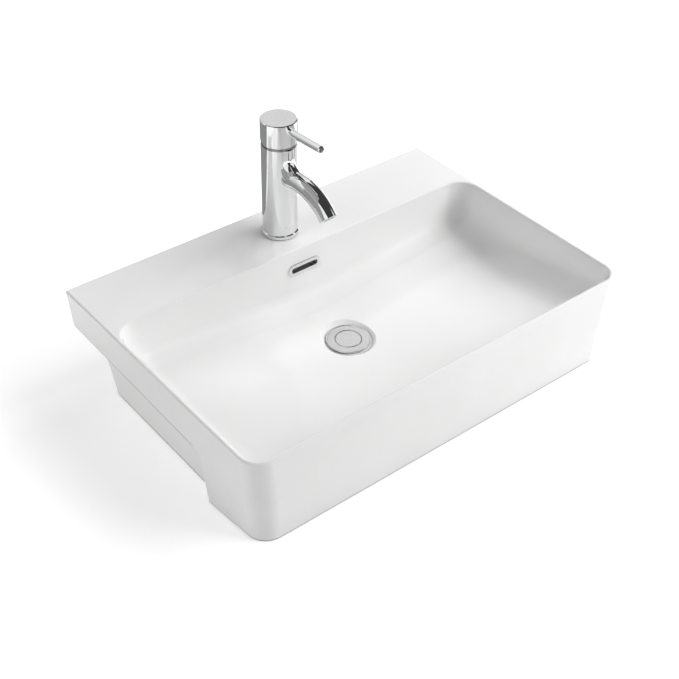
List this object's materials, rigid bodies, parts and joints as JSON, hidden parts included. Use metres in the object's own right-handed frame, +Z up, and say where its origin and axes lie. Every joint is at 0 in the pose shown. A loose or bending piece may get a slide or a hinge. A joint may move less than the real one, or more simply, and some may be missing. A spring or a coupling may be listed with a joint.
{
  "type": "semi recessed basin",
  "caption": "Rectangular semi recessed washbasin with a thin rim, flat tap deck, single lever mixer tap, push button waste and overflow.",
  "frame": {"origin": "on the worktop plane, which is the underside of the rim, at the middle of the back edge", "axes": "+X to the right along the width, +Y towards the wall, +Z up; the front is towards -Y"},
  "size_m": [0.5998, 0.41, 0.3552],
  "materials": {
    "glaze": "gloss white glaze",
    "chrome": "polished chrome plate",
    "satin_metal": "fine satin",
    "rubber": "moulded black rubber",
    "plastic_white": "moulded",
    "plastic_grey": "moulded",
    "brass": "turned",
    "steel": "zinc plated"
  },
  "bodies": {
    "basin": {"basin_body": "glaze", "overflow_trim": "chrome", "waste_flange": "satin_metal", "waste_top_washer": "rubber", "waste_taper_washer": "rubber", "waste_slip_washer": "plastic_white", "waste_backnut": "brass", "click_body": "plastic_white", "tap_body": "chrome", "tap_base_ring": "chrome", "tap_base_seal": "rubber", "aerator_housing": "chrome", "aerator_insert": "plastic_white", "aerator_seal": "rubber", "cartridge_body": "plastic_white", "cartridge_nut": "brass", "cartridge_cover": "chrome", "mounting_stud": "steel", "fixing_gasket": "rubber", "fixing_clamp": "steel", "fixing_nut": "brass"},
    "plug": {"plug_button": "chrome", "plug_seal": "rubber", "click_plunger": "steel"},
    "swivel": {"cartridge_rotor": "plastic_grey", "cartridge_pin": "steel"},
    "lever": {"cartridge_spindle": "steel", "tap_head": "chrome", "tap_head_disc": "satin_metal", "tap_lever": "chrome", "tap_grub_screw": "steel"}
  },
  "joints": [
    {"name": "plug_lift", "type": "slide", "parent": "basin", "child": "plug", "axis": [0, 0, 1], "range_m": [0, 0.008]},
    {"name": "lever_turn", "type": "hinge", "parent": "basin", "child": "swivel", "pos_m": [0, -0.056, 0.191], "axis": [0, 0, 1], "range_deg": [-45, 45]},
    {"name": "lever_lift", "type": "hinge", "parent": "swivel", "child": "lever", "pos_m": [0, -0.056, 0.191], "axis": [-1, 0, 0], "range_deg": [0, 20]}
  ]
}
